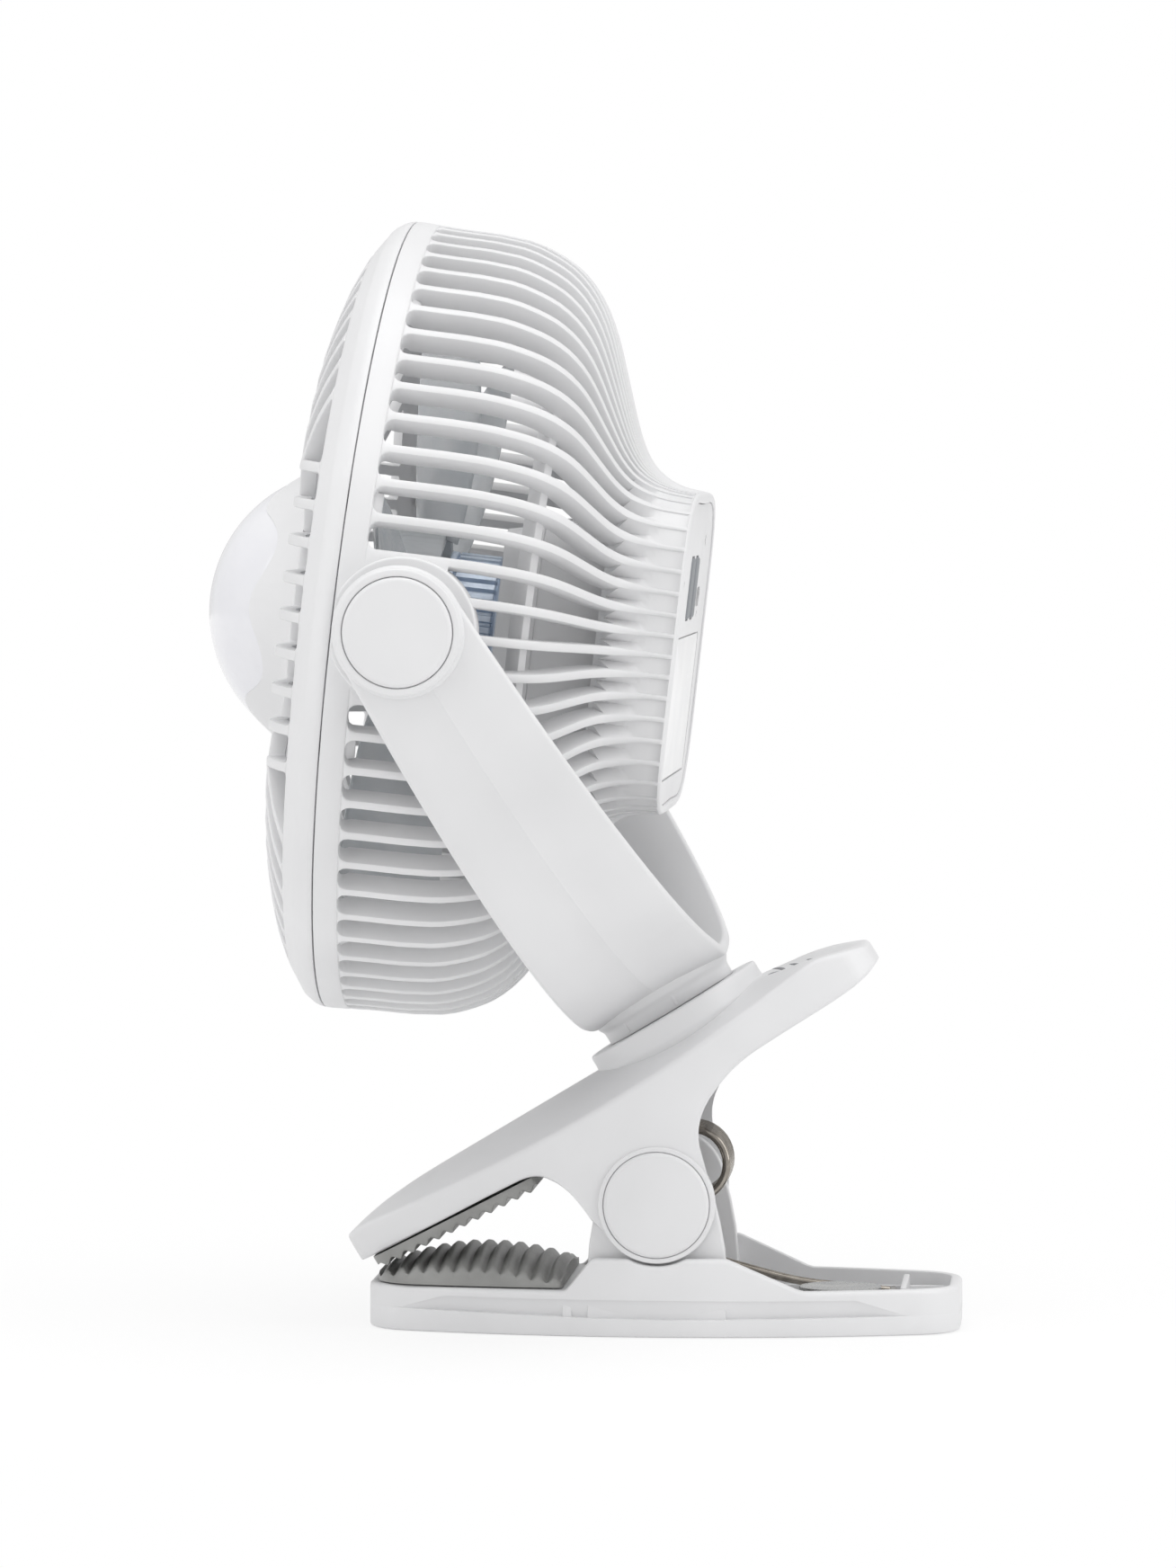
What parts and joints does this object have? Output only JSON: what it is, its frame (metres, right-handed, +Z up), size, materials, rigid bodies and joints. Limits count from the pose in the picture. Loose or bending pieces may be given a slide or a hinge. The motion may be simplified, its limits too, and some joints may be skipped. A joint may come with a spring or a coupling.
{
  "type": "clip fan",
  "caption": "Small round desk fan in a slotted guard, hung on a tilting and swivelling U-shaped yoke above a sprung clip with ridged jaw pads that also stands as a base.",
  "frame": {"origin": "middle of the clip's base, on the surface it stands on", "axes": "+Z up; -Y is the way the fan blows; X runs along the clip pin and the tilt axis, +X to the left of someone behind the fan facing its front"},
  "size_m": [0.2062, 0.1753, 0.256],
  "materials": {
    "white_shell": "satin moulded ABS, slightly cool white",
    "gloss_white": "glossy moulded dome",
    "blade_white": "pale translucent blade plastic, shown solid",
    "grip_rubber": "matte ridged grip rubber",
    "key_grey": "soft-touch grey keys",
    "steel": "plated steel",
    "spring_steel": "drawn spring wire",
    "motor_steel": "drawn motor can",
    "cell_sleeve": "blue shrink sleeve over a metal cell",
    "board_green": "solder-masked board",
    "lamp_lens": "clear lamp tip, shown solid",
    "label_film": "blank satin label"
  },
  "bodies": {
    "base": {"base_shell": "white_shell", "lower_grip_pad": "grip_rubber", "spring_seat": "steel", "clip_pin_left": "steel", "clip_pin_right": "steel", "clip_spring": "spring_steel"},
    "lever": {"clip_lever": "white_shell", "upper_grip_pad": "grip_rubber", "pin_cap_left": "white_shell", "pin_cap_right": "white_shell"},
    "yoke_frame": {"yoke": "white_shell", "tilt_cap_left": "white_shell", "tilt_cap_right": "white_shell", "tilt_screw_left": "steel", "tilt_screw_right": "steel", "tilt_washer_left": "steel", "tilt_washer_right": "steel", "swivel_washer": "steel", "swivel_screw": "steel"},
    "head": {"rear_housing": "white_shell", "front_grille": "white_shell", "grille_dome": "gloss_white", "pod_cover": "white_shell", "motor_can": "motor_steel", "motor_screw_left": "steel", "motor_screw_right": "steel", "battery_upper": "cell_sleeve", "battery_lower": "cell_sleeve", "circuit_board": "board_green", "charge_socket": "steel", "charge_lamp": "lamp_lens", "rating_label": "label_film"},
    "rotor": {"fan_rotor": "blade_white", "motor_shaft": "steel"},
    "power_key": {"power_button": "key_grey"},
    "speed_key": {"speed_button": "key_grey"}
  },
  "joints": [
    {"name": "clip_jaw", "type": "hinge", "parent": "base", "child": "lever", "pos_m": [0, -0.0015, 0.0304], "axis": [-1, 0, 0], "range_deg": [0, 35], "stiffness_Nm_per_rad": 0.54, "springref_deg": -68.75, "deforming": ["clip_spring"]},
    {"name": "swivel", "type": "hinge", "parent": "lever", "child": "yoke_frame", "pos_m": [0, 0.00024, 0.07333], "axis": [0, -0.515, 0.8572], "continuous": true},
    {"name": "head_tilt", "type": "hinge", "parent": "yoke_frame", "child": "head", "pos_m": [0, -0.05358, 0.1629], "axis": [1, 0, 0], "continuous": true},
    {"name": "fan_spin", "type": "hinge", "parent": "head", "child": "rotor", "pos_m": [0, -0.06898, 0.16468], "axis": [0, -0.9934, 0.1149], "continuous": true},
    {"name": "power_press", "type": "slide", "parent": "head", "child": "power_key", "axis": [0, -0.9934, 0.1149], "range_m": [0, 0.0008], "stiffness_N_per_m": 600, "springref_m": -0.0005},
    {"name": "speed_press", "type": "slide", "parent": "head", "child": "speed_key", "axis": [0, -0.9934, 0.1149], "range_m": [0, 0.0008], "stiffness_N_per_m": 600, "springref_m": -0.0005}
  ]
}
